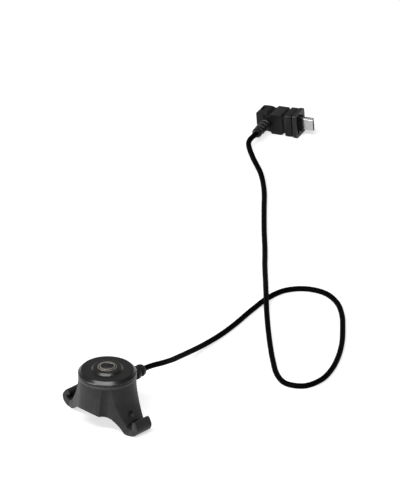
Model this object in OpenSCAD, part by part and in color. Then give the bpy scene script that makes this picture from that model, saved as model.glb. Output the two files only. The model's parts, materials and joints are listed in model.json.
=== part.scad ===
// Wired handlebar remote switch with a right-angle micro-USB plug on its lead.
// Millimetres, +Z up. X runs from hook to hook, Y along the handlebar, with the lead leaving along +Y.
// The origin is on the button's axis, at the level of the undersides of the two hooks.

/* [Saddle and hooks] */
// Radius of the saddle that sits on the handlebar
saddle_r = 20.5; // [19.8:0.1:21.5]
// Height of the saddle's crown above the undersides of the hooks
saddle_rise = 10; // [9.6:0.1:11]
// Half the distance between the middles of the two hooks' round undersides
hook_x = 20.2; // [19.6:0.1:21]
// How far both hooks stand towards the one that keeps its band
hook_offset = 0.4; // [0:0.1:0.6]
// Radius of each hook's round underside
hook_r = 5.2; // [5:0.1:5.8]
// Width of the open hook's band slot
slot_w = 2.7; // [2.2:0.1:3]
// Width of the pocket in the hook that keeps its band
pocket_w = 3.5; // [3:0.1:3.7]
// Thickness of each hook under its slot
hook_t = 3.7; // [3:0.1:4.2]
// Height of the open hook's lip above its underside
lip_top = 8.2; // [7.8:0.1:8.8]
// Height of the other hook's lip, whose bead keeps the band
bead_top = 8.7; // [8.4:0.1:9]
// Width of each arm at its hook
arm_w = 9.6; // [8.8:0.1:10.4]
// Angle at which each side of an arm widens towards the round body, in degrees
arm_taper = 20; // [19:1:22]
// Length of the part of each arm that widens
taper_l = 10.4; // [10.1:0.1:10.8]
// Radius of the hollow curve between an arm and the round body
blend_r = 6; // [5.7:0.1:6.4]
// Height on the round body where the arms start to flare out
flare_top = 20; // [18:0.1:21]
// Width of the moulding dimple on the outside of the open hook's arm
dimple_d = 3.5; // [2.8:0.1:4.2]

/* [Housing] */
// Radius of the round body at its top shoulder
shoulder_r = 13.9; // [13.6:0.1:14.4]
// How much further the round body reaches at the saddle's crown than at its shoulder
skirt_out = 1; // [0.7:0.1:1.5]
// Thickness of the floor over the saddle's crown
floor_t = 3.4; // [2.8:0.1:3.8]
// Height of the space for the lead under the circuit board
lead_room = 5.1; // [4.5:0.1:5.6]
// Thickness of the wall round the pocket that holds the keymat and the guide ring
wall_t = 2.3; // [2.1:0.1:2.5]
// Width of the ledge under the keymat
ledge_w = 1.8; // [1.6:0.1:2.2]
// Height from the top of the circuit board to the shoulder
pocket_h = 3.3; // [3.2:0.1:4]

/* [Guide ring] */
// How far the guide ring stands out over the shoulder
ring_lap = 0.1; // [0:0.05:0.3]
// Height of the guide ring above the shoulder
ring_h = 1.6; // [1.4:0.1:2.5]
// Thickness of the guide ring's inner lip
lip_t = 1; // [0.7:0.1:1.2]
// Thickness of the guide ring's spigot wall
spigot_t = 0.9; // [0.7:0.05:1]
// Diameter of the three ring screws
ring_screw_d = 1.2; // [0.8:0.1:1.4]

/* [Button] */
// How far the button cap stands out over the guide ring
cap_lap = 0.1; // [0:0.05:0.4]
// Height of the button cap, without its raised centre
cap_h = 2.25; // [2:0.05:3]
// Width of the sloping edge round the top of the cap
cap_edge = 1.8; // [0.8:0.1:2]
// Thickness of the cap's top
cap_skin = 1.6; // [1.2:0.1:1.8]
// Travel of the button
button_travel = 0.35; // [0.2:0.01:0.35]
// Radius of the raised plateau on the cap
plateau_r = 7.7; // [6.9:0.1:8.5]
// Height of the raised plateau
plateau_h = 1.1; // [0.6:0.1:1.4]
// Radius of the stepped centre boss
boss_r = 4.6; // [3.8:0.1:5.2]
// Height of the centre boss above the plateau
boss_h = 0.5; // [0.4:0.1:1]

/* [Circuit board and switch] */
// Thickness of the circuit board
board_t = 1; // [0.8:0.1:1.2]
// Width of the push switch
key_w = 6; // [5:0.1:6]
// Height of the push switch's body
key_h = 2.6; // [2.3:0.1:2.7]
// Radius of the push switch's plunger
plunger_r = 1.75; // [1.2:0.05:1.8]
// Height of the plunger above the push switch
plunger_out = 0.7; // [0.5:0.05:0.8]
// Travel of the plunger
plunger_travel = 0.25; // [0.15:0.01:0.25]
// Thickness of the keymat
mat_t = 0.8; // [0.6:0.05:1]

/* [Gland and lead] */
// Diameter of the lead
lead_d = 2.7; // [2:0.1:2.8]
// Length of the gland outside the body
gland_out = 8.9; // [8:0.1:11]
// Radius of the gland's widest rib
gland_r = 3.7; // [3.4:0.1:4]

/* [Plug] */
// Length of the plug from its top to the end of its strain relief
plug_l = 23.4; // [22:0.1:26]
// Direction that the connector points in, in degrees from +X
plug_yaw = 20; // [10:1:30]
// Width of the pull tab
tab_w = 9.8; // [8:0.1:11]
// Height of the pull tab
tab_h = 7.5; // [6:0.1:8]
// Reach of the pull tab behind the lead's axis
tab_l = 7.2; // [6.5:0.1:9]
// Width of the plug body
plug_w = 10.8; // [9.6:0.1:12]
// Reach of the plug body in front of the lead's axis
plug_front = 9.2; // [8.5:0.1:11]
// Height of the plug body, collar and flange
plug_h = 10.8; // [10:0.1:12]
// Length of the collar behind the flange
collar_l = 3.6; // [2.5:0.1:5]
// Width of the collar
collar_w = 12; // [11:0.1:13]
// Width of the sealing flange
flange_w = 12.8; // [12.4:0.1:14]
// Thickness of the sealing flange
flange_t = 2.2; // [1.6:0.1:3]
// Radius of the strain relief's ribs
relief_r = 2.7; // [2.4:0.1:3]

/* [Connector] */
// Width of the connector shell
usb_w = 6.85; // [6.5:0.05:7]
// Thickness of the connector shell
usb_t = 1.8; // [1.7:0.05:1.9]
// Length of the shell in front of the flange's plinth
usb_out = 5.4; // [4.5:0.1:7]
// Wall of the connector shell
usb_wall = 0.25; // [0.2:0.01:0.3]
// Travel of the two latch hooks
latch_travel = 0.22; // [0.1:0.01:0.25]

/* [Hidden] */
$fn = 96;
eps = 0.01;
fit = 0.05;                 // clearance between pieces that are assembled with each other
lead_fn = 8;                // sides of the lead's tube
ring_holes = [90, 210, 330];

// Radii round the middle of the switch
skirt_r = shoulder_r + skirt_out;
pocket_r = shoulder_r - wall_t;
chamber_r = pocket_r - ledge_w;
ring_r = shoulder_r + ring_lap;
cap_r = ring_r + cap_lap;

// Heights up the middle of the switch
floor_z = saddle_rise + floor_t;
board_z = floor_z + lead_room;
ledge_z = board_z + board_t;
shoulder_z = ledge_z + pocket_h;
ring_top = shoulder_z + ring_h;
cap_gap = button_travel + 0.1;
cap_z = ring_top + cap_gap;
cap_top = cap_z + cap_h;
roof_z = cap_top - cap_skin;
key_top = ledge_z + key_h;
plunger_top = key_top + plunger_out;
touch = 0.06;               // play above and below the keymat's pad, and under the plunger
pad_t = 0.4;
disc_z = ledge_z + 0.5;     // where the contact disc sits in the push switch
disc_t = 0.12;
disc_h = 0.42;
foot_z = disc_z + disc_h + plunger_travel + touch;
pad_z = plunger_top + touch;
post_z = pad_z + pad_t + touch;
post_r = 2;

// Saddle, hooks and arms
saddle_z = saddle_rise - saddle_r;
arch_z = 1.5;               // where the saddle's arc ends on each arm
hook_y0 = 40;               // longer than any arm is wide
open_x = hook_x - hook_offset;
keep_x = hook_x + hook_offset;
slot_x = open_x + 0.05;
slot_z = hook_t + slot_w / 2;
slot_out = slot_x + slot_w / 2;
heel_r = 3;                 // the round that turns the underside up into each lip
heel_turn = 20;             // how far before the hook's side that round starts, in degrees
lip_round = 1.3;
bead_round = 1.6;
keep_wall = 2.9;            // the wall outside the pocket
keep_out = keep_x + hook_r - keep_wall;
pocket_x = keep_out - pocket_w / 2;
pocket_z = hook_t + pocket_w / 2;
pocket_slope = 35;          // slope from the pocket's floor up to the arm, in degrees
pocket_low = [pocket_x, pocket_z] - pocket_w / 2 * [sin(pocket_slope), cos(pocket_slope)];
pocket_rise = hook_r + 0.1 - pocket_low[1];
pocket_high = pocket_low + pocket_rise * [-1 / tan(pocket_slope), 1];
bead_in = keep_out - 1.9;   // the bead reaches this far in over the pocket
bead_z = bead_top - bead_round;
bead_low = bead_z - 0.75;   // the bead's underside at the wall
bead_dip = 0.25;            // how much lower the underside is at the bead's end
taper_x = hook_x + 0.8;     // where each arm starts to widen, and how far it has widened at the curve
taper_end = [taper_x - taper_l * cos(arm_taper), arm_w / 2 + taper_l * sin(arm_taper)];
blend_mid = taper_end + blend_r * [sin(arm_taper), cos(arm_taper)];
cone_slope = (skirt_r - shoulder_r) / (shoulder_z - saddle_rise);
flare_low = hook_t;
flare_r = hook_x + 0.1;
flare_steps = 12;
flare_half = 47;            // half the angle that each arm's flare spans, in degrees
dimple_at = 0.6;            // where the dimple is, as a share of the flare's length
dimple_y = -1.1;
dimple_depth = 1.2;
dimple_r = (dimple_d * dimple_d / 4 + dimple_depth * dimple_depth) / (2 * dimple_depth);

// Guide ring and cap
spigot_out = pocket_r - fit;
spigot_in = spigot_out - spigot_t;
lip_r = spigot_in - 0.85;
leg_out = lip_r - 0.25;
leg_t = 0.8;
leg_w = 4.4;
catch_r = spigot_in - 0.2;
catch_h = 0.9;
screw_in = 3.3;             // depth of the ring screws in the housing
screw_head_r = 0.9 * ring_screw_d;
screw_head_h = 0.6;
post_x = 6.6;               // place of the circuit board's posts
catch_z = ring_top - lip_t - fit;
cap_in = cap_r - 1.7;
plateau_edge = plateau_h;
boss_dish = boss_r - 1.5;

// Gland and the lead inside the switch
stem_r = 2;
bulb_r = stem_r + 0.15;
bulb_l = 1.3;
gland_z = ledge_z - bulb_r - fit;
gland_y = skirt_r;
gland_end = gland_y + gland_out;
bulb_y = chamber_r - fit - bulb_l;
crimp_t = 0.45;
crimp_l = 1.1;
crimp_y = bulb_y - crimp_l - 0.1;
tail_y = 5.6;
board_flat = tail_y - 0.2;
wire_d = 0.8;
wire_x = 0.6;
wire_y = key_w / 2 + 1.2;
cover_t = 0.2;              // the push switch's metal cover

// Plug, in its own axes: +X towards the connector, -Y towards the lead, +Z away from the floor
groove_l = 1.2;
collar_x = plug_front + groove_l;
seam_x = collar_x + collar_l;
seam_l = 0.7;
flange_x = seam_x + seam_l;
flange_front = flange_x + flange_t;
plinth_l = 1.6;
plinth_x = flange_front + plinth_l;
usb_tip = plinth_x + usb_out;
usb_back = collar_x + 1;
latch_z = 2.15;             // the two latch hooks stand this far either side of the middle
latch_w = 0.6;
latch_tip = usb_tip - 1.2;
tongue_t = 0.45;            // the plastic tongue that carries the contacts
usb_y = -plug_h / 2 + 0.3;
neck_y = -plug_h - 0.8;
core_back = -2;
core_top = -2;
core_skin = 0.6;             // the cover's wall under the core, where the pull tab begins
core_low = core_skin - tab_h;
core_w = 7.6;
tab_round = 3;
tab_rest = tab_l - tab_round;   // how far behind the lead's axis the pull tab meets the floor
rest_gap = 0.05;
plug_tilt = atan((flange_w / 2 - tab_w / 2) / (flange_front + tab_rest));
axis_drop = flange_w / 2 - flange_front * tan(plug_tilt);
plug_z = axis_drop * cos(plug_tilt) + rest_gap;

// The lead's route, from the gland's end to the plug's end
lay_z = lead_d / 2 + 0.05;
hump_z = lay_z + lead_d + 0.2;
route = [
    [0, gland_end, gland_z], [0, gland_end + 6.5, gland_z - 0.5], [-1, 39, 14.6],
    [-4, 48.5, 11.4], [-7.5, 58, 8.4], [-11, 67.5, 5.5], [-14, 77.5, 3.1],
    [-16, 87.5, lay_z + 0.5], [-17.8, 97.5, lay_z], [-20.2, 109, lay_z], [-24, 123.5, lay_z],
    [-27, 138, lay_z], [-26.5, 149.5, lay_z], [-20.5, 158, lay_z], [-10.5, 161.5, lay_z],
    [0.5, 158.5, lay_z], [11, 151, lay_z], [20.5, 141.5, lay_z], [30, 131, lay_z],
    [38.5, 119.5, lay_z], [45, 108, lay_z], [48.5, 97, lay_z], [47, 87, lay_z],
    [39, 82.5, lay_z], [29.5, 86, lay_z], [18, 95, lay_z], [6, 105.5, lay_z + 0.2],
    [-6, 116.5, lay_z + 1], [-17, 127, lay_z + 2.1], [-27, 137, hump_z],
    [-38.5, 148.5, lay_z + 2], [-50.5, 160.5, lay_z + 0.8], [-63, 173.5, lay_z],
    [-78, 188.5, lay_z], [-93, 204, lay_z], [-107, 218.5, lay_z], [-120.5, 230, lay_z + 0.4],
    [-134, 238, lay_z + 2], [-144.4, 246, plug_z - 0.7], [-147.5, 254.5, plug_z]];
last = len(route) - 1;

// Catmull-Rom curve through the route's points, straight at both ends
function at(i) = i < 0 ? 2 * route[0] - route[1]
    : i > last ? 2 * route[last] - route[last - 1] : route[i];
function spline(i, t) = 0.5 * (2 * at(i) + (at(i + 1) - at(i - 1)) * t
    + (2 * at(i - 1) - 5 * at(i) + 4 * at(i + 1) - at(i + 2)) * t * t
    + (3 * at(i) - at(i - 1) - 3 * at(i + 1) + at(i + 2)) * t * t * t);
function unit(v) = v / norm(v);
// The first tangent leaves the gland square, and the last enters the plug square
plug_dir = [-sin(plug_yaw), cos(plug_yaw), 0];
path = [for (i = [0 : last - 1], h = [0, 0.5]) spline(i, h), at(last)];
rings = len(path) - 1;
function heading(i) = i == 0 ? [0, 1, 0] : i == rings ? plug_dir : unit(path[i + 1] - path[i - 1]);
function tube_ring(i) = let (d = heading(i), side = unit(cross(d, [0, 0, 1])), up = cross(side, d))
    [for (k = [0 : lead_fn - 1]) path[i] + lead_d / 2
        * (side * cos((k + 0.5) * 360 / lead_fn) + up * sin((k + 0.5) * 360 / lead_fn))];

// ---- shared shapes ----

// A prism along Y from an outline in X and Z
module along_y(length) {
    rotate([90, 0, 0]) linear_extrude(length, center = true) children();
}

// A revolved piece on the lead's axis through the gland, its profile drawn as [radius, y]
module on_gland_axis() {
    translate([0, 0, gland_z]) rotate([-90, 0, 0]) children();
}

// Puts a piece drawn in the plug's axes where the plug lies
module in_plug() {
    translate(route[last]) rotate([0, 0, plug_yaw]) rotate([0, -plug_tilt, 0])
        translate([0, plug_l, 0]) children();
}

// A revolved piece on the lead's axis through the plug, its profile drawn as [radius, -y]
module on_plug_axis() {
    rotate([90, 0, 0]) children();
}

// The three screws through the guide ring
module at_ring_screws() {
    for (a = ring_holes) rotate(a) translate([(pocket_r + shoulder_r) / 2, 0, 0]) children();
}

// A box between two corners
module box(a, b) {
    translate(a) cube(b - a);
}

// A rectangle with rounded corners, centred on the origin
module rounded(w, h, r) {
    square([w - 2 * r, h], center = true);
    square([w, h - 2 * r], center = true);
    for (sx = [-1, 1], sy = [-1, 1])
        translate([sx * (w / 2 - r), sy * (h / 2 - r)]) circle(r, $fn = 32);
}

// ---- switch ----

// Radius of the cone at a height
function cone_r(z) = skirt_r + cone_slope * (saddle_rise - z);

// Profile of an arm's outer face, as [radius, z]: a curve that leaves the cone without a crease and
// runs out into the slot
function flare(t) = let (turn = [cone_r(flare_top) + 1.1, 0.42 * flare_top + 0.58 * flare_low])
    (1 - t) * (1 - t) * [cone_r(flare_top), flare_top] + 2 * t * (1 - t) * turn
    + t * t * [flare_r, flare_low];

module round_body() {
    translate([0, 0, arch_z])
        cylinder(h = shoulder_z - arch_z, r1 = cone_r(arch_z), r2 = shoulder_r);
    intersection() {
        rotate_extrude($fn = 160) polygon(concat([[0, arch_z], [flare_r, arch_z]],
            [for (i = [flare_steps : -1 : 0]) flare(i / flare_steps)], [[0, flare_top]]));
        linear_extrude(flare_top) for (side = [-1, 1]) polygon([[0, 0],
            [side * hook_y0, -hook_y0 * tan(flare_half)],
            [side * hook_y0, hook_y0 * tan(flare_half)]]);
    }
}

module hook_solid(side, x, tip, tip_r, wall_in) {
    // The heel's round leaves the hook's round smoothly, and a straight side joins it to the lip's tip
    heel = [x, hook_r] + (hook_r - heel_r) * [cos(heel_turn), -sin(heel_turn)];
    line = tip - heel;
    square_to = atan2(line[1], line[0]) - acos((heel_r - tip_r) / norm(line));
    out = [cos(square_to), sin(square_to)];
    along_y(hook_y0) scale([side, 1]) {
        intersection() {
            translate([x, hook_r]) circle(hook_r, $fn = 160);
            translate([x - hook_r, 0]) {
                square([2 * hook_r, hook_r * (1 - sin(heel_turn))]);
                square([wall_in - x + hook_r, hook_r]);
            }
        }
        translate(tip) circle(tip_r, $fn = 64);
        intersection() {
            translate(heel) circle(heel_r, $fn = 96);
            translate([wall_in, 0]) square([hook_y0, hook_y0]);
        }
        polygon([[wall_in, heel[1]], heel, heel + heel_r * out, tip + tip_r * out, tip,
            [wall_in, tip[1]]]);
    }
}

// Four cuts leave the two arms standing out of the round body, each with a hollow curve beside it
module blends() {
    for (sx = [-1, 1], sy = [-1, 1]) translate([0, 0, -1]) linear_extrude(shoulder_z + 1)
        scale([sx, sy]) {
            translate(blend_mid) circle(blend_r, $fn = 160);
            polygon([taper_end, [taper_x, arm_w / 2], [hook_y0, arm_w / 2], [hook_y0, hook_y0],
                [taper_end[0], hook_y0]]);
        }
}

module slots() {
    along_y(hook_y0) translate([slot_x, slot_z]) {
        circle(slot_w / 2, $fn = 48);
        translate([-slot_w / 2, 0]) square([slot_w, 3 * hook_r]);
    }
    // The pocket widens under the bead, which ends in a point
    along_y(hook_y0) scale([-1, 1]) {
        intersection() {
            translate([pocket_x, pocket_z]) circle(pocket_w / 2, $fn = 64);
            square([hook_y0, pocket_z]);
        }
        polygon([pocket_low, [keep_out, pocket_z], [keep_out, bead_low],
            [bead_in, bead_low - bead_dip], [bead_in, 3 * hook_r],
            [pocket_high[0], 3 * hook_r], pocket_high]);
    }
}

module housing() color([0.24, 0.24, 0.25]) {
    difference() {
        union() {
            difference() {
                union() {
                    round_body();
                    hook_solid(1, open_x, [slot_out + lip_round, lip_top - lip_round],
                        lip_round, slot_out);
                    hook_solid(-1, keep_x, [bead_in + bead_round, bead_z], bead_round, keep_out);
                }
                slots();
                blends();
            }
            // Flat seat for the gland
            on_gland_axis() translate([0, 0, chamber_r + 1])
                cylinder(h = gland_y - chamber_r - 1, r = gland_r + 0.5);
        }
        translate([0, 0, saddle_z]) rotate([90, 0, 0])
            cylinder(h = hook_y0, r = saddle_r, center = true, $fn = 160);
        translate([0, 0, floor_z]) cylinder(h = shoulder_z, r = chamber_r);
        translate([0, 0, ledge_z]) cylinder(h = shoulder_z, r = pocket_r);
        on_gland_axis() cylinder(h = 2 * skirt_r, r = stem_r + fit);
        translate([flare(dimple_at)[0] + dimple_r - dimple_depth, dimple_y, flare(dimple_at)[1]])
            sphere(r = dimple_r);
        at_ring_screws() translate([0, 0, shoulder_z - screw_in - 0.1])
            cylinder(h = screw_in + 1, r = ring_screw_d / 2);
    }
    // Three posts carry the circuit board
    for (p = [[-post_x, wire_y], [post_x, wire_y], [0, -post_x - 1]])
        translate([p[0], p[1], floor_z - eps]) cylinder(h = lead_room + eps, r = 1.1);
}

module guide_ring() color([0.22, 0.22, 0.23]) difference() {
    rotate_extrude() polygon([
        [spigot_in, ledge_z + mat_t], [spigot_out, ledge_z + mat_t], [spigot_out, shoulder_z],
        [ring_r - 0.2, shoulder_z], [ring_r, shoulder_z + 0.2], [ring_r, ring_top - 0.2],
        [ring_r - 0.2, ring_top], [lip_r, ring_top], [lip_r, ring_top - lip_t],
        [spigot_in, ring_top - lip_t]]);
    at_ring_screws() {
        translate([0, 0, shoulder_z - 1]) cylinder(h = ring_h + 2, r = ring_screw_d / 2);
        translate([0, 0, ring_top - screw_head_h - 0.1]) cylinder(h = 5, r = screw_head_r + fit);
    }
}

module ring_screws() color("silver") at_ring_screws() difference() {
    union() {
        translate([0, 0, shoulder_z - screw_in])
            cylinder(h = screw_in + ring_h - 0.5, r = ring_screw_d / 2);
        translate([0, 0, ring_top - screw_head_h - 0.1]) cylinder(h = screw_head_h, r = screw_head_r);
    }
    translate([-2, -0.12, ring_top - 0.35]) cube([4, 0.24, 1]);
}

module button_cap() color([0.2, 0.2, 0.21]) {
    difference() {
        rotate_extrude() polygon([
            [0, roof_z], [cap_in, roof_z], [cap_in, cap_z], [cap_r, cap_z],
            [cap_r, cap_top - cap_edge], [cap_r - 0.12, cap_top - cap_edge + 0.3],
            [cap_r - cap_edge + 0.3, cap_top - 0.12], [cap_r - cap_edge, cap_top],
            [plateau_r, cap_top], [plateau_r - plateau_edge + 0.15, cap_top + plateau_h - 0.08],
            [plateau_r - plateau_edge - 0.1, cap_top + plateau_h],
            [boss_r + fit, cap_top + plateau_h], [boss_r + fit, cap_top], [0, cap_top]]);
    }
    translate([0, 0, post_z]) cylinder(h = roof_z - post_z + eps, r = post_r);
    // Three snap legs hold the cap under the guide ring's lip
    for (a = [30, 150, 270]) rotate(a) intersection() {
        rotate_extrude() polygon([
            [leg_out - leg_t, catch_z - catch_h], [leg_out, catch_z - catch_h],
            [catch_r, catch_z - 0.2], [catch_r, catch_z], [leg_out, catch_z],
            [leg_out, roof_z + eps], [leg_out - leg_t, roof_z + eps]]);
        translate([0, -leg_w / 2, catch_z - 2]) cube([catch_r + 1, leg_w, 10]);
    }
}

module centre_boss() color([0.62, 0.6, 0.58]) rotate_extrude() {
    base = cap_top;
    step = cap_top + plateau_h + 0.24;
    top = cap_top + plateau_h + boss_h;
    polygon([[0, base], [boss_r, base], [boss_r, step - 0.12], [boss_r - 0.12, step],
        [boss_r - 0.45, step], [boss_r - 0.55, step - 0.16], [boss_r - 0.68, step - 0.16],
        [boss_r - 0.72, top - 0.12], [boss_r - 0.84, top], [boss_dish + 0.15, top],
        [boss_dish, top - 0.12], [boss_dish - 0.2, top - 0.5], [0, top - 0.6]]);
}

module keymat() color([0.35, 0.35, 0.36]) rotate_extrude() {
    dome_r = key_w * 0.72 + 0.8;
    polygon([[dome_r, ledge_z], [pocket_r - fit, ledge_z], [pocket_r - fit, ledge_z + mat_t],
        [dome_r + 1.3, ledge_z + mat_t], [dome_r + 0.6, key_top + 0.4],
        [post_r + 1.1, pad_z + pad_t], [0, pad_z + pad_t], [0, pad_z], [post_r + 0.9, pad_z],
        [dome_r, key_top + 0.05]]);
}

module circuit_board() color([0.05, 0.3, 0.15]) translate([0, 0, board_z]) difference() {
    cylinder(h = board_t, r = chamber_r - 0.2);
    translate([-chamber_r, board_flat, -1]) cube([2 * chamber_r, chamber_r, board_t + 2]);
    for (s = [-1, 1])
        translate([s * wire_x, wire_y, -1]) cylinder(h = board_t + 2, r = wire_d / 2 + fit / 2);
}

module switch_base() color([0.1, 0.1, 0.1]) difference() {
    translate([-key_w / 2, -key_w / 2, ledge_z]) cube([key_w, key_w, key_h - cover_t]);
    translate([0, 0, disc_z]) cylinder(h = key_h, r = plunger_r + 0.75);
}

module switch_cover() color("silver") translate([0, 0, key_top - cover_t]) difference() {
    translate([-key_w / 2, -key_w / 2, 0]) cube([key_w, key_w, cover_t]);
    translate([0, 0, -1]) cylinder(h = 2, r = plunger_r + 0.08);
}

module switch_plunger() color([0.08, 0.08, 0.08]) {
    translate([0, 0, foot_z]) cylinder(h = plunger_top - foot_z, r = plunger_r);
    translate([0, 0, foot_z]) cylinder(h = key_top - cover_t - 0.08 - foot_z, r = plunger_r + 0.5);
}

module contact_disc() color("gold") translate([0, 0, disc_z]) rotate_extrude() polygon([
    [plunger_r + 0.6, 0], [plunger_r + 0.6, disc_t], [0.8, disc_h], [0, disc_h],
    [0, disc_h - disc_t], [0.8, disc_h - disc_t], [plunger_r + 0.2, 0]]);

module switch_terminals() color("silver") for (sx = [-1, 1], sy = [-1, 1])
    translate([sx * (key_w / 2 + 0.5), sy * key_w / 3, ledge_z + 0.1])
        cube([1, 0.7, 0.2], center = true);

module switch_wires() color("firebrick") for (s = [-1, 1]) translate([s * wire_x, 0, 0]) {
    on_gland_axis() translate([0, 0, wire_y]) cylinder(h = tail_y - wire_y, r = wire_d / 2);
    translate([0, wire_y, gland_z]) sphere(wire_d / 2, $fn = 32);
    translate([0, wire_y, gland_z]) cylinder(h = ledge_z - gland_z + 0.3, r = wire_d / 2);
}

module gland() color([0.1, 0.1, 0.1]) on_gland_axis() rotate_extrude() {
    g = gland_end - gland_y;
    polygon([[lead_d / 2, bulb_y], [stem_r, bulb_y], [bulb_r, bulb_y + 0.3],
        [bulb_r, bulb_y + bulb_l], [stem_r, bulb_y + bulb_l], [stem_r, gland_y],
        [gland_r, gland_y], [gland_r, gland_y + 0.16 * g], [gland_r - 0.3, gland_y + 0.2 * g],
        [gland_r - 1, gland_y + 0.23 * g], [gland_r - 1.1, gland_y + 0.33 * g],
        [gland_r - 0.5, gland_y + 0.37 * g], [gland_r - 0.3, gland_y + 0.4 * g],
        [gland_r - 0.35, gland_y + 0.55 * g], [gland_r - 0.6, gland_y + 0.6 * g],
        [gland_r - 1.3, gland_y + 0.64 * g], [gland_r - 1.35, gland_y + 0.72 * g],
        [gland_r - 0.75, gland_y + 0.76 * g], [gland_r - 0.6, gland_y + 0.8 * g],
        [gland_r - 0.75, gland_y + 0.92 * g], [gland_r - 1.1, gland_end], [lead_d / 2, gland_end]]);
}

module crimp_ring() color("silver") on_gland_axis() translate([0, 0, crimp_y]) difference() {
    cylinder(h = crimp_l, r = lead_d / 2 + crimp_t);
    translate([0, 0, -1]) cylinder(h = crimp_l + 2, r = lead_d / 2);
}

// ---- lead ----

module cord_ends() color([0.07, 0.07, 0.07]) {
    on_gland_axis() translate([0, 0, tail_y]) cylinder(h = gland_end - tail_y, r = lead_d / 2);
    in_plug() on_plug_axis() translate([0, 0, -core_low])
        cylinder(h = plug_l + core_low, r = lead_d / 2);
}

module cord() color([0.07, 0.07, 0.07]) polyhedron(
    points = [for (i = [0 : rings]) each tube_ring(i)],
    faces = concat(
        [[for (k = [0 : lead_fn - 1]) k]],
        [for (i = [0 : rings - 1], k = [0 : lead_fn - 1]) let (n = (k + 1) % lead_fn)
            [i * lead_fn + k, (i + 1) * lead_fn + k, (i + 1) * lead_fn + n, i * lead_fn + n]],
        [[for (k = [lead_fn - 1 : -1 : 0]) rings * lead_fn + k]]),
    convexity = 10);

// ---- plug ----

module strain_relief() color([0.16, 0.16, 0.16]) in_plug() on_plug_axis() {
    from = -neck_y;
    span = plug_l - from;
    pitch = span / 4;
    difference() {
        rotate_extrude() polygon(concat([[lead_d / 2, from]],
            [for (i = [0 : 2], p = [[0.25, 0], [0, 0.12], [0, 0.45], [0.25, 0.58], [0.25, 0.95]])
                [relief_r - p[0], from + (i + p[1]) * pitch]],
            [[relief_r - 0.15, from + 3 * pitch], [relief_r - 0.15, plug_l - 0.9],
                [relief_r - 0.8, plug_l], [lead_d / 2, plug_l]]));
        // Flexing slots, in turn on the broad sides and across them
        for (i = [0 : 2], s = [-1, 1])
            translate([0, s * (relief_r - 0.3), from + (i + 0.3) * pitch])
                cube([2 * relief_r * 0.75, 1.5, 1.3], center = true);
        for (i = [0 : 1], s = [-1, 1])
            translate([s * (relief_r - 0.3), 0, from + (i + 0.8) * pitch])
                cube([1.5, 2 * relief_r * 0.75, 1.1], center = true);
    }
}

// Outline of the cover seen along the lead, drawn as [x, z]
module cover_plan() {
    waist = tab_w / 2 + 0.4;
    difference() {
        union() {
            translate([(1.8 - tab_l) / 2, 0]) rounded(tab_l + 1.8, tab_w, tab_round);
            translate([(plug_front + 1) / 2, 0]) rounded(plug_front - 1, plug_w, 1.2);
        }
        for (s = [-1, 1]) translate([1.6, s * waist]) circle(1.1, $fn = 32);
    }
}

// Side outline of the cover, drawn as [x, y]
module cover_side() {
    r = 2.2;
    translate([(plug_front - tab_l) / 2, -tab_h / 2]) rounded(plug_front + tab_l, tab_h, 1);
    translate([(plug_front + 0.4) / 2, -plug_h / 2]) rounded(plug_front - 0.4, plug_h, 0.6);
    // Hollow corner between the tab's underside and the neck
    difference() {
        translate([-relief_r, -tab_h - r]) square([relief_r + 1, r + 1]);
        translate([-relief_r, -tab_h - r]) circle(r, $fn = 48);
    }
}

module plug_cover() color([0.2, 0.2, 0.2]) in_plug() difference() {
    union() {
        intersection() {
            rotate([90, 0, 0]) translate([0, 0, -1]) linear_extrude(plug_h + 2) cover_plan();
            linear_extrude(plug_w + 2, center = true) cover_side();
        }
        on_plug_axis() rotate_extrude() polygon([[0, tab_h - 1], [relief_r + 1.5, tab_h - 1],
            [relief_r + 1.2, tab_h + 0.8], [relief_r + 0.5, tab_h + 2], [relief_r + 0.1, tab_h + 3.2],
            [relief_r, -neck_y], [0, -neck_y]]);
    }
    box([core_back, core_low, -core_w / 2], [plug_front + 1, core_top, core_w / 2]);
    on_plug_axis() translate([0, 0, -core_low - 1])
        cylinder(h = core_low - neck_y + 2, r = lead_d / 2);
    // Slot through the pull tab
    box([-tab_l + 1.7, 1.2 - tab_h, -plug_w], [-tab_l + 3.6, -1.5, plug_w]);
}

module plug_core() color([0.85, 0.85, 0.8]) in_plug() difference() {
    box([core_back, core_low, -core_w / 2], [usb_back, core_top, core_w / 2]);
    box([-1.2, core_low - 1, -1.6], [usb_back + 1, usb_y + 0.9, 1.6]);
}

module plug_collar() color([0.2, 0.2, 0.2]) in_plug() difference() {
    union() {
        box([plug_front, -plug_h + 0.8, -collar_w / 2 + 1.4], [flange_x, -0.8, collar_w / 2 - 1.4]);
        translate([collar_x, 0, 0]) rotate([0, 90, 0]) linear_extrude(collar_l)
            translate([0, -plug_h / 2]) rounded(collar_w, plug_h, 0.9);
    }
    box([plug_front - 1, core_low, -core_w / 2], [usb_back, core_top, core_w / 2]);
    box([usb_back - 1, usb_y - usb_t / 2, -usb_w / 2], [flange_x + 1, usb_y + usb_t / 2, usb_w / 2]);
}

module seal_flange() color([0.2, 0.2, 0.2]) in_plug() difference() {
    union() {
        translate([flange_x, 0, 0]) rotate([0, 90, 0]) linear_extrude(flange_t)
            translate([0, -plug_h / 2]) rounded(flange_w, plug_h, 1);
        translate([flange_front - 1, usb_y, 0]) rotate([0, 90, 0]) linear_extrude(plinth_l + 1)
            rounded(usb_w + 1.6, usb_t + 1.6, 0.7);
    }
    box([flange_x - 1, usb_y - usb_t / 2, -usb_w / 2], [plinth_x + 1, usb_y + usb_t / 2, usb_w / 2]);
    // Channel across the front under the connector
    box([flange_front - 0.9, 1.2 - plug_h, 1.5 - flange_w / 2],
        [flange_front + 1, 2.9 - plug_h, flange_w / 2 - 1.5]);
}

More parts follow.
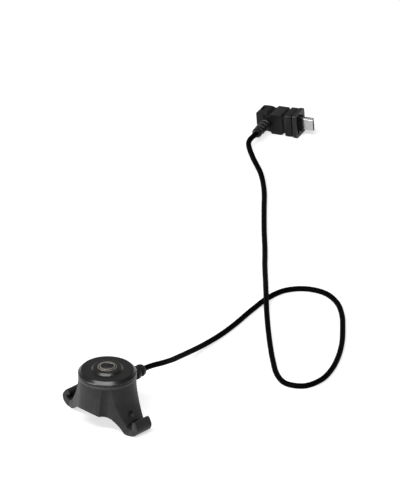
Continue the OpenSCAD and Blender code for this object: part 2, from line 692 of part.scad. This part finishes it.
// Outline of the connector, drawn as [z, y], with its two lower corners cut off
module usb_outline(w, t, cut) {
    polygon([[-w / 2, t / 2], [w / 2, t / 2], [w / 2, cut - t / 2], [w / 2 - cut, -t / 2],
        [cut - w / 2, -t / 2], [-w / 2, cut - t / 2]]);
}

module along_x(from, to) {
    translate([from, usb_y, 0]) rotate([0, 90, 0]) linear_extrude(to - from) children();
}

module connector_shell() color([0.8, 0.8, 0.8]) in_plug() difference() {
    along_x(usb_back, usb_tip) usb_outline(usb_w, usb_t, 0.7);
    along_x(usb_back - 1, usb_tip + 1)
        usb_outline(usb_w - 2 * usb_wall, usb_t - 2 * usb_wall, 0.6);
    for (s = [-1, 1])
        box([latch_tip - 1.2, usb_y, s * latch_z - latch_w / 2 - 0.1],
            [latch_tip + 0.2, usb_y + usb_t, s * latch_z + latch_w / 2 + 0.1]);
}

module connector_insulator() color([0.1, 0.1, 0.1]) in_plug() {
    in_w = usb_w - 2 * usb_wall - 2 * fit;
    in_t = usb_t - 2 * usb_wall - 2 * fit;
    along_x(usb_back, usb_back + 2) usb_outline(in_w, in_t, 0.6);
    box([usb_back, usb_y - in_t / 2, -in_w / 2 + 0.8],
        [usb_tip - 0.8, usb_y - in_t / 2 + tongue_t, in_w / 2 - 0.8]);
}

module contacts() color("gold") in_plug() {
    top = usb_y - usb_t / 2 + usb_wall + fit + tongue_t;
    for (i = [-2 : 2])
        box([usb_back + 2, top, i * 0.65 - 0.16], [usb_tip - 1, top + 0.12, i * 0.65 + 0.16]);
}

// The hooks stand out of the shell by a little more than their travel
module latch_springs() color("silver") in_plug() {
    top = usb_y + usb_t / 2 - usb_wall - 0.06;
    proud = usb_y + usb_t / 2 + latch_travel + 0.06;
    for (s = [-1, 1]) {
        box([usb_back + 2.1, top - 0.18, s * latch_z - latch_w / 2],
            [latch_tip, top, s * latch_z + latch_w / 2]);
        translate([0, 0, s * latch_z]) linear_extrude(latch_w, center = true)
            polygon([[latch_tip - 1, top - 0.1], [latch_tip, top - 0.1],
                [latch_tip - 0.1, usb_y + usb_t / 2 + 0.1],
                [latch_tip - 0.5, proud], [latch_tip - 0.9, proud]]);
    }
    box([usb_back + 2.1, top - 0.18, -latch_z], [usb_back + 2.7, top, latch_z]);
}

module plug_wires() color("firebrick") in_plug() for (s = [-1, 1]) translate([0, 0, s * wire_x]) {
    translate([0, usb_y, 0]) rotate([90, 0, 0]) cylinder(h = usb_y - core_low, r = wire_d / 2);
    translate([0, usb_y, 0]) sphere(wire_d / 2, $fn = 32);
    translate([0, usb_y, 0]) rotate([0, 90, 0]) cylinder(h = usb_back, r = wire_d / 2);
}

housing();
guide_ring();
ring_screws();
button_cap();
centre_boss();
keymat();
circuit_board();
switch_base();
switch_cover();
switch_plunger();
contact_disc();
switch_terminals();
switch_wires();
gland();
crimp_ring();
cord_ends();
cord();
strain_relief();
plug_cover();
plug_core();
plug_collar();
seal_flange();
connector_shell();
connector_insulator();
contacts();
latch_springs();
plug_wires();
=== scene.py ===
# A wired handlebar remote switch with a right-angle micro-USB plug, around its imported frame.
import json
import math
import bpy
import bmesh
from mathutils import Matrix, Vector


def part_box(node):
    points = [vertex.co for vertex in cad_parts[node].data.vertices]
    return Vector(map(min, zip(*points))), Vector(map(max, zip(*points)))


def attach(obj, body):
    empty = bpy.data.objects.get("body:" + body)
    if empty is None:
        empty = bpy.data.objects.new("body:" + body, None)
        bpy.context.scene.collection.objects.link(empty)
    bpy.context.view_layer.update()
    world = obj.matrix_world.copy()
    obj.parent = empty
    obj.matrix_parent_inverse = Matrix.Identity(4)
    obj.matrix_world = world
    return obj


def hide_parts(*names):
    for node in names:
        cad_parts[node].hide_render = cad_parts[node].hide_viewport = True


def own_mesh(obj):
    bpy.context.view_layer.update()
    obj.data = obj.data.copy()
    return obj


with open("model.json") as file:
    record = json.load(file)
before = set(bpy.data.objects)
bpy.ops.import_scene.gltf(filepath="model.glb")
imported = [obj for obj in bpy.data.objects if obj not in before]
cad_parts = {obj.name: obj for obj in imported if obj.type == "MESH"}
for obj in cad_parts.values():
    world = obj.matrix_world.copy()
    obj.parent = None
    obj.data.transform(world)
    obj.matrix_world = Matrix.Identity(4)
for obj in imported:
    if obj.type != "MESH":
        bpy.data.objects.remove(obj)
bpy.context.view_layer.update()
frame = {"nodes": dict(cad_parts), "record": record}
nodes = frame["nodes"]
scene = bpy.context.scene
MM = 0.001
WELD = 1e-6  # metres: vertices nearer than this become one


def placed(name, data):
    """A new object of the data, in the scene."""
    obj = bpy.data.objects.new(name, data)
    scene.collection.objects.link(obj)
    return obj


def outward(azimuth, elevation):
    """The direction from the object to a place at these angles in degrees. Azimuth 0 is -Y."""
    a, e = math.radians(azimuth), math.radians(elevation)
    return Vector((math.sin(a) * math.cos(e), -math.cos(a) * math.cos(e), math.sin(e)))


# ---- camera ----

AIM = Vector((0.012893, 0.049945, 0.076893))
AZIMUTH, ELEVATION = 44.369, 28.190  # degrees
DISTANCE = 4.0                       # metres
LENS, SENSOR = 604.8, 36             # millimetres

camera_data = bpy.data.cameras.new("camera")
camera_data.lens = LENS
camera_data.sensor_width = SENSOR
camera_data.clip_start = 0.5
camera_data.clip_end = 20
camera = placed("camera", camera_data)
scene.camera = camera
back = outward(AZIMUTH, ELEVATION)
camera.location = AIM + DISTANCE * back
camera.rotation_euler = back.to_track_quat("Z", "Y").to_euler()

# ---- the lead ----

LEAD_D = 2.7 * MM
REST_GAP = 0.05 * MM                        # between the floor and what lies on it
LAY = LEAD_D / 2 + REST_GAP                 # the lead's centreline, where it lies on the floor
GLAND_Y, GLAND_Z = 23.8 * MM, 17.3 * MM     # where it leaves the gland

# The plug lies on its flange and its pull tab, which are unlike in width, so it tilts. Their
# half widths, and how far before and behind the lead's axis they meet the floor, in millimetres
PLUG_YAW = math.radians(20)
FLANGE_HALF, FLANGE_FRONT = 6.4, 16.9
TAB_HALF, TAB_REST = 4.9, 4.2
PLUG_TILT = math.atan((FLANGE_HALF - TAB_HALF) / (FLANGE_FRONT + TAB_REST))
AXIS_DROP = FLANGE_HALF - FLANGE_FRONT * math.tan(PLUG_TILT)
PLUG_Z = AXIS_DROP * math.cos(PLUG_TILT) * MM + REST_GAP


def at_floor(points, rises):
    """Points in millimetres along the floor, and how far some rise over the lead's own level."""
    return [Vector((x * MM, y * MM, LAY + rises.get(i, 0) * MM))
            for i, (x, y) in enumerate(points)]


# part.scad's points: down from the gland, round the loop and over itself, and up into the plug.
# The top of the hump, 22, was 2.7 mm up for a lead of 2.5 mm. part.scad's is 2.9 mm up now.
route = [Vector((0, GLAND_Y, GLAND_Z))]
route += [Vector((x * MM, y * MM, z * MM)) for x, y, z in (
    (0, 30.3, 16.8), (-1, 39, 14.6), (-4, 48.5, 11.4), (-7.5, 58, 8.4), (-11, 67.5, 5.5),
    (-14, 77.5, 3.1))]
route += at_floor([
    (-16, 87.5), (-17.8, 97.5), (-20.2, 109), (-24, 123.5), (-27, 138), (-26.5, 149.5),
    (-20.5, 158), (-10.5, 161.5), (0.5, 158.5), (11, 151), (20.5, 141.5), (30, 131),
    (38.5, 119.5), (45, 108), (48.5, 97), (47, 87), (39, 82.5), (29.5, 86), (18, 95),
    (6, 105.5), (-6, 116.5), (-17, 127), (-27, 137), (-38.5, 148.5), (-50.5, 160.5),
    (-63, 173.5), (-78, 188.5), (-93, 204), (-107, 218.5), (-120.5, 230), (-134, 238)],
    {0: 0.5, 19: 0.2, 20: 1, 21: 2.1, 22: 2.7, 23: 2, 24: 0.8, 29: 0.4, 30: 2})
route += [Vector((-144.4 * MM, 246 * MM, PLUG_Z - 0.7 * MM)),
          Vector((-147.5 * MM, 254.5 * MM, PLUG_Z))]


def mesh_of(curve):
    """The curve as a mesh: its surface, or its centreline where it has no bevel."""
    bpy.context.view_layer.update()
    shown = curve.evaluated_get(bpy.context.evaluated_depsgraph_get())
    return bpy.data.meshes.new_from_object(shown)


def smooth_tube(name, points, radius, first, final):
    """A round tube through the points, which leaves along first and arrives along final.

    Its Bezier handles give a Catmull-Rom curve. It comes with its centreline. It is a mesh
    because a curve's box counts each point's radius of 1 as a metre.
    """
    data = bpy.data.curves.new(name, "CURVE")
    data.dimensions = "3D"
    data.bevel_resolution = 6
    data.resolution_u = 8
    data.use_fill_caps = True
    spline = data.splines.new("BEZIER")
    last = len(points) - 1
    spline.bezier_points.add(last)
    for i, point in enumerate(points):
        before = points[i - 1] if i > 0 else 2 * points[0] - points[1]
        after = points[i + 1] if i < last else 2 * points[last] - points[last - 1]
        handle = (after - before) / 6
        if i == 0:
            handle = first.normalized() * handle.length
        if i == last:
            handle = final.normalized() * handle.length
        b = spline.bezier_points[i]
        b.handle_left_type = b.handle_right_type = "FREE"
        b.co = point
        b.handle_left = point - handle
        b.handle_right = point + handle
    curve = placed(name + "_route", data)
    line = mesh_of(curve)
    path = [v.co.copy() for v in line.vertices]
    data.bevel_depth = radius
    tube = mesh_of(curve)
    bpy.data.objects.remove(curve)
    bpy.data.meshes.remove(line)
    bm = bmesh.new()
    bm.from_mesh(tube)
    bmesh.ops.remove_doubles(bm, verts=bm.verts, dist=WELD)
    bmesh.ops.recalc_face_normals(bm, faces=bm.faces)
    for face in bm.faces:
        face.smooth = len(face.verts) == 4
    bm.to_mesh(tube)
    bm.free()
    return placed(name, tube), path


gland_dir = Vector((0, 1, 0))
plug_dir = Vector((-math.sin(PLUG_YAW), math.cos(PLUG_YAW), 0))
lead, lead_path = smooth_tube("lead", route, LEAD_D / 2, gland_dir, plug_dir)

# ---- materials ----

FINISH = {}

# How many millimetres across the lumps are in which a surface changes, and how deep a metal's grain
COLOUR_LUMPS, GLOSS_LUMPS, WEAR_AND_HIGHLIGHT_LUMPS = 6, 2.2, 1.1
METAL_COLOUR_LUMPS, METAL_GLOSS_LUMPS = 1.5, 0.8
METAL_GRAIN, METAL_DEPTH = 0.25, 0.004

NOISE_LOW, NOISE_HIGH = 0.3, 0.7      # where nearly all of a noise lies
PATCH_LOW, PATCH_HIGH = 0.35, 0.65    # the part of it that breaks up the edge rubbing and the painted edge highlight
LEAST_WEAR_AND_HIGHLIGHT = 0.25                     # the share of the edge rubbing and painted edge highlight that every edge keeps
EDGE_LOW, EDGE_HIGH = 0.53, 0.62      # the pointiness where edge rubbing and painted highlight begin, and where they are full
SPREAD = 0.18                         # how far a moulded colour wanders, as a share of it
COARSER, DEEPER = 4, 1.5              # a moulding's second grain, set against its first
FIRST_SHOWS, SECOND_SHOWS = 0.7, 0.35  # how strongly the two are seen
METAL_SHADE = 0.8                     # a metal's darkest colour, as a share of its own
METAL_SMOOTH, METAL_DULL = 0.7, 1.4   # its least and most roughness, as shares of its own


def new_material(name):
    """An empty finish of that name, with its node tree and its shader."""
    m = bpy.data.materials.new("finish_" + name)
    FINISH[name] = m
    m.use_nodes = True
    return m, m.node_tree, m.node_tree.nodes["Principled BSDF"]


def node(tree, kind, **settings):
    n = tree.nodes.new(kind)
    for key, value in settings.items():
        setattr(n, key, value)
    return n


def noise(tree, size, detail, roughness=0.55):
    """Noise whose lumps are about size millimetres across."""
    n = node(tree, "ShaderNodeTexNoise")
    n.inputs["Scale"].default_value = 1 / (size * MM)
    n.inputs["Detail"].default_value = detail
    n.inputs["Roughness"].default_value = roughness
    tree.links.new(node(tree, "ShaderNodeTexCoord").outputs["Object"], n.inputs["Vector"])
    return n.outputs["Fac"]


def ramp(tree, value, low, high, to_low, to_high):
    """The value, with low to high stretched over to_low to to_high and held there."""
    m = node(tree, "ShaderNodeMapRange")
    for key, number in (("From Min", low), ("From Max", high),
                        ("To Min", to_low), ("To Max", to_high)):
        m.inputs[key].default_value = number
    tree.links.new(value, m.inputs["Value"])
    return m.outputs["Result"]


def patches(tree, size, to_low, to_high, detail, roughness=0.55):
    """A noise stretched over to_low to to_high."""
    lumps = noise(tree, size, detail, roughness)
    return ramp(tree, lumps, NOISE_LOW, NOISE_HIGH, to_low, to_high)


def mix_colour(tree, factor, a, b):
    """Colour a, or an output that gives it, going over to colour b with the factor."""
    m = node(tree, "ShaderNodeMix", data_type="RGBA")
    tree.links.new(factor, m.inputs["Factor"])
    if isinstance(a, tuple):
        m.inputs["A"].default_value = (*a, 1)
    else:
        tree.links.new(a, m.inputs["A"])
    m.inputs["B"].default_value = (*b, 1)
    return m.outputs["Result"]


def calculate(tree, operation, a, b):
    """Two outputs combined by a maths operation."""
    m = node(tree, "ShaderNodeMath", operation=operation)
    tree.links.new(a, m.inputs[0])
    tree.links.new(b, m.inputs[1])
    return m.outputs[0]


def bump(tree, shader, layers):
    """Chains bump layers, each a height output, a depth in millimetres and a strength."""
    normal = None
    for height, depth, strength in layers:
        b = node(tree, "ShaderNodeBump")
        b.inputs["Distance"].default_value = depth * MM
        b.inputs["Strength"].default_value = strength
        tree.links.new(height, b.inputs["Height"])
        if normal is not None:
            tree.links.new(normal, b.inputs["Normal"])
        normal = b.outputs["Normal"]
    tree.links.new(normal, shader.inputs["Normal"])


def worn_and_highlit_edges(tree):
    """How far an edge is worn and given a painted highlight: the convex edges, broken up by a
    patchy noise.
    """
    edge = node(tree, "ShaderNodeNewGeometry").outputs["Pointiness"]
    lumps = noise(tree, WEAR_AND_HIGHLIGHT_LUMPS, detail=4, roughness=0.6)
    broken = ramp(tree, lumps, PATCH_LOW, PATCH_HIGH, LEAST_WEAR_AND_HIGHLIGHT, 1)
    return calculate(tree, "MULTIPLY", ramp(tree, edge, EDGE_LOW, EDGE_HIGH, 0, 1), broken)


def plastic(name, colour, rough, grain, depth, specular=0.25, wander=0.05, wear_and_highlight=0.02):
    """A moulded plastic or rubber: fine grain, slow changes of colour and gloss, worn edges that
    also carry a painted highlight.

    The grain's size and depth are in millimetres. wander is how far the roughness goes to
    either side, and the last argument how much lighter a worn edge is, partly from rubbing and
    partly as a painted highlight.
    """
    _, tree, shader = new_material(name)
    dark = tuple(c * (1 - SPREAD) for c in colour)
    light = tuple(min(c * (1 + SPREAD), 1) for c in colour)
    # Convex edges are painted lighter: partly real rubbing, partly a painted highlight along them
    rubbed_and_highlit = tuple(min(c + wear_and_highlight, 1) for c in colour)
    moulded = mix_colour(tree, patches(tree, COLOUR_LUMPS, 0, 1, detail=4), dark, light)
    tree.links.new(mix_colour(tree, worn_and_highlit_edges(tree), moulded, rubbed_and_highlit),
                   shader.inputs["Base Color"])
    gloss = patches(tree, GLOSS_LUMPS, rough - wander, rough + wander, detail=5, roughness=0.6)
    tree.links.new(gloss, shader.inputs["Roughness"])
    shader.inputs["Specular IOR Level"].default_value = specular
    bump(tree, shader, [
        (noise(tree, grain, detail=2), depth, FIRST_SHOWS),
        (noise(tree, grain * COARSER, detail=3), depth * DEEPER, SECOND_SHOWS)])


def metal(name, colour, rough):
    """A drawn or pressed metal, slightly uneven in colour and gloss."""
    _, tree, shader = new_material(name)
    shader.inputs["Metallic"].default_value = 1
    dark = tuple(c * METAL_SHADE for c in colour)
    lumps = noise(tree, METAL_COLOUR_LUMPS, detail=4)
    tree.links.new(mix_colour(tree, lumps, dark, colour), shader.inputs["Base Color"])
    gloss = patches(tree, METAL_GLOSS_LUMPS, rough * METAL_SMOOTH, rough * METAL_DULL, detail=4)
    tree.links.new(gloss, shader.inputs["Roughness"])
    bump(tree, shader, [(noise(tree, METAL_GRAIN, detail=2), METAL_DEPTH, 0.5)])


# The edge lightening, where given, is partly rubbing and partly a painted highlight; the plug's is
# the strongest
# name, colour, roughness, grain, depth
plastic("body_plastic", (0.018, 0.018, 0.019), 0.4, 0.12, 0.009, specular=0.14)
plastic("ring_plastic", (0.026, 0.026, 0.027), 0.36, 0.1, 0.006)
plastic("cap_plastic", (0.0065, 0.0063, 0.006), 0.29, 0.1, 0.001, specular=0.37, wander=0.02,
        wear_and_highlight=0.01)
plastic("boss_plastic", (0.17, 0.152, 0.13), 0.3, 0.1, 0.002, specular=0.5)
plastic("lead_rubber", (0.0012, 0.0012, 0.0014), 0.55, 0.15, 0.003, specular=0.012, wear_and_highlight=0.002)
plastic("plug_plastic", (0.0045, 0.0045, 0.005), 0.36, 0.12, 0.005, specular=0.15, wear_and_highlight=0.1)
plastic("flange_rubber", (0.0055, 0.0055, 0.006), 0.36, 0.12, 0.006, specular=0.24, wear_and_highlight=0.06)
plastic("mat_rubber", (0.07, 0.07, 0.075), 0.6, 0.15, 0.01)
plastic("board_laminate", (0.01, 0.1, 0.04), 0.3, 0.4, 0.01)
plastic("switch_plastic", (0.015, 0.015, 0.015), 0.5, 0.1, 0.006)
plastic("wire_insulation", (0.4, 0.02, 0.015), 0.4, 0.1, 0.004)
plastic("core_nylon", (0.6, 0.57, 0.48), 0.4, 0.2, 0.006)
metal("steel", (0.55, 0.55, 0.56), 0.3)
metal("shell_steel", (0.46, 0.46, 0.47), 0.2)
metal("gilt_contact", (0.8, 0.55, 0.2), 0.22)

for part in frame["record"]["subparts"]:
    mesh = nodes[part["node"]].data
    mesh.materials.clear()
    mesh.materials.append(FINISH[part["material_slot"]])

# ---- pieces ----


def finish_piece(obj, body, slot, replaced):
    """Puts the piece on its body, in its finish and in the place of the nodes it stands for."""
    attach(obj, body)
    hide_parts(*replaced)
    obj.data.materials.clear()
    obj.data.materials.append(FINISH[slot])


def shade_by_area(obj):
    """Turns the normals towards the larger faces, so that flats look flat beside their edges."""
    weight = obj.modifiers.new("shading", "WEIGHTED_NORMAL")
    weight.keep_sharp = True


finish_piece(lead, "switch_body", "lead_rubber", ["cord"])

FLAT_ANGLE = math.radians(0.6)  # faces that meet at less are one flat face
BEVEL_SEGMENTS = 3


def rounded_copy(name, source, body, slot, width, angle=28):
    """A copy of a CAD node that stands for it, with the edges over the angle rounded.

    The width of the rounding is in millimetres, and the angle in degrees.
    """
    mesh = nodes[source].data.copy()
    bm = bmesh.new()
    bm.from_mesh(mesh)
    bmesh.ops.remove_doubles(bm, verts=bm.verts, dist=WELD)
    bmesh.ops.dissolve_limit(bm, angle_limit=FLAT_ANGLE, verts=bm.verts, edges=bm.edges)
    for face in bm.faces:
        face.smooth = True
    bm.to_mesh(mesh)
    bm.free()
    mesh.name = name
    obj = placed(name, mesh)
    bevel = obj.modifiers.new("edges", "BEVEL")
    bevel.width = width * MM
    bevel.segments = BEVEL_SEGMENTS
    bevel.limit_method = "ANGLE"
    bevel.angle_limit = math.radians(angle)
    bevel.use_clamp_overlap = True
    shade_by_area(obj)
    finish_piece(obj, body, slot, [source])
    return obj


rounded_copy("body", "housing", "switch_body", "body_plastic", width=0.25)
rounded_copy("ring", "guide_ring", "switch_body", "ring_plastic", width=0.12)
rounded_copy("cap", "button_cap", "button", "cap_plastic", width=0.15, angle=20)

TURNED_SIDES = 144


def turned(name, profile, source, body, slot, bands, band_slot):
    """A turned piece about the button's axis, from a profile of [radius, height] in millimetres.

    bands are the stretches of the profile that take band_slot's finish, counted from 0.
    """
    bm = bmesh.new()
    rows = []
    for radius, height in profile:
        if radius == 0:
            rows.append([bm.verts.new((0, 0, height * MM))])
            continue
        turns = [2 * math.pi * k / TURNED_SIDES for k in range(TURNED_SIDES)]
        rows.append([bm.verts.new((radius * MM * math.cos(a), radius * MM * math.sin(a),
                                   height * MM)) for a in turns])
    for lower, upper in zip(rows, rows[1:]):
        for k in range(TURNED_SIDES):
            n = (k + 1) % TURNED_SIDES
            if len(lower) == 1:
                corners = (lower[0], upper[n], upper[k])
            elif len(upper) == 1:
                corners = (lower[k], lower[n], upper[0])
            else:
                corners = (lower[k], lower[n], upper[n], upper[k])
            bm.faces.new(corners).smooth = True
    bmesh.ops.recalc_face_normals(bm, faces=bm.faces)
    mesh = bpy.data.meshes.new(name)
    bm.to_mesh(mesh)
    bm.free()
    obj = placed(name, mesh)
    finish_piece(obj, body, slot, [source])
    mesh.materials.append(FINISH[band_slot])
    for face in mesh.polygons:
        face.material_index = int(face.index // TURNED_SIDES in bands)
    shade_by_area(obj)


# The boss is a low collar with a taller ring inside it, each with a pale rim, and a dark dish
boss_low, boss_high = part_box("centre_boss")
BASE, TOP, OUT = boss_low[2] / MM, boss_high[2] / MM, boss_high[0] / MM
STEP = TOP - 0.26  # the collar's own top
COLLAR_RIM, RING_RIM = (2, 3, 4, 5), (11, 12, 13, 14)
turned("boss", [
    # up the collar's side and over its rim
    (0, BASE), (OUT, BASE), (OUT, STEP - 0.14), (OUT - 0.04, STEP - 0.05), (OUT - 0.13, STEP),
    (OUT - 0.32, STEP), (OUT - 0.4, STEP - 0.06),
    # through the groove
    (OUT - 0.44, STEP - 0.16), (OUT - 0.5, STEP - 0.24), (OUT - 0.86, STEP - 0.24),
    (OUT - 0.9, STEP - 0.18),
    # over the ring's rim
    (OUT - 0.92, TOP - 0.14), (OUT - 0.97, TOP - 0.04), (OUT - 1.05, TOP), (OUT - 1.3, TOP),
    (OUT - 1.38, TOP - 0.05),
    # down into the dish
    (OUT - 1.44, TOP - 0.15), (OUT - 1.5, TOP - 0.42), (OUT - 1.7, TOP - 0.56), (0, TOP - 0.6)],
    "centre_boss", "button", "cap_plastic", COLLAR_RIM + RING_RIM, "boss_plastic")

# The keymat's dome under the cap's post, rounded, with a mesh of its own
dome = rounded_copy("dome", "keymat", "switch_body", "mat_rubber", width=0.06)
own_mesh(dome)

rounded_copy("lead_gland", "gland", "switch_body", "flange_rubber", width=0.18, angle=20)
rounded_copy("relief", "strain_relief", "switch_body", "plug_plastic", width=0.15)
rounded_copy("plug_body", "plug_cover", "switch_body", "plug_plastic", width=0.3)
rounded_copy("collar", "plug_collar", "switch_body", "plug_plastic", width=0.3)
rounded_copy("flange", "seal_flange", "switch_body", "flange_rubber", width=0.3)
rounded_copy("shell", "connector_shell", "switch_body", "shell_steel", width=0.08)

# ---- stage and light ----

FLOOR_HALF = 6                        # metres, half its width
FLOOR_COLOUR, FLOOR_GLOW = 0.52, 0.6  # the glow is there only for background rays
SKY_LIGHT, SKY_GLOW = 0.18, 0.82      # its light, and what background rays see on top of it
HORIZON_FULL, HORIZON_END = 8, 20     # degrees up, between which the horizon's white fades
LIT = Vector((0, 0.09, 0.02))         # where the lamps point

scene.view_settings.view_transform = "Standard"


def background_rays(tree):
    """1 for rays that see the background: the camera's, and those off metal or through glass."""
    path = node(tree, "ShaderNodeLightPath")
    total = path.outputs["Is Camera Ray"]
    for kind in ("Is Glossy Ray", "Is Transmission Ray"):
        total = calculate(tree, "MAXIMUM", total, path.outputs[kind])
    return total


floor_mesh = bpy.data.meshes.new("floor")
floor_bm = bmesh.new()
bmesh.ops.create_grid(floor_bm, x_segments=1, y_segments=1, size=FLOOR_HALF)
floor_bm.to_mesh(floor_mesh)
floor_bm.free()
floor = placed("floor", floor_mesh)

floor_finish, floor_tree, floor_shader = new_material("floor")
floor_shader.inputs["Base Color"].default_value = (FLOOR_COLOUR,) * 3 + (1,)
floor_shader.inputs["Roughness"].default_value = 0.9
floor_shader.inputs["Specular IOR Level"].default_value = 0.1
glow = node(floor_tree, "ShaderNodeEmission")
glow.inputs["Color"].default_value = (1, 1, 1, 1)
floor_tree.links.new(ramp(floor_tree, background_rays(floor_tree), 0, 1, 0, FLOOR_GLOW),
                     glow.inputs["Strength"])
both = node(floor_tree, "ShaderNodeAddShader")
floor_tree.links.new(floor_shader.outputs[0], both.inputs[0])
floor_tree.links.new(glow.outputs[0], both.inputs[1])
floor_tree.links.new(both.outputs[0], floor_tree.nodes["Material Output"].inputs["Surface"])
floor_mesh.materials.append(floor_finish)

# The horizon is white, as the floor is, and it darkens overhead, as in a studio
world = bpy.data.worlds.new("world")
scene.world = world
world.use_nodes = True
sky_tree = world.node_tree
sky = sky_tree.nodes["Background"]
sky.inputs["Color"].default_value = (1, 1, 1, 1)
split = node(sky_tree, "ShaderNodeSeparateXYZ")
sky_tree.links.new(node(sky_tree, "ShaderNodeTexCoord").outputs["Generated"],
                   split.inputs["Vector"])
band = ramp(sky_tree, split.outputs["Z"], math.sin(math.radians(HORIZON_FULL)),
            math.sin(math.radians(HORIZON_END)), SKY_GLOW, 0)
shown = calculate(sky_tree, "MULTIPLY", band, background_rays(sky_tree))
strength = node(sky_tree, "ShaderNodeMath", operation="ADD")
sky_tree.links.new(shown, strength.inputs[0])
strength.inputs[1].default_value = SKY_LIGHT
sky_tree.links.new(strength.outputs[0], sky.inputs["Strength"])


def area_light(name, azimuth, elevation, distance, width, height, watts):
    """A soft panel at an angle round the object, in degrees counted as the camera's are."""
    data = bpy.data.lights.new(name, "AREA")
    data.shape = "RECTANGLE"
    data.size = width
    data.size_y = height
    data.energy = watts
    lamp = placed(name, data)
    away = outward(azimuth, elevation)
    lamp.location = LIT + distance * away
    lamp.rotation_euler = away.to_track_quat("Z", "Y").to_euler()


area_light("key", 23, 60, distance=1.5, width=1.6, height=0.36, watts=26)
area_light("fill", -13, 12, distance=1.8, width=0.9, height=0.6, watts=31)
area_light("back", 215, 50, distance=1.8, width=0.8, height=0.8, watts=1)

bpy.context.view_layer.update()
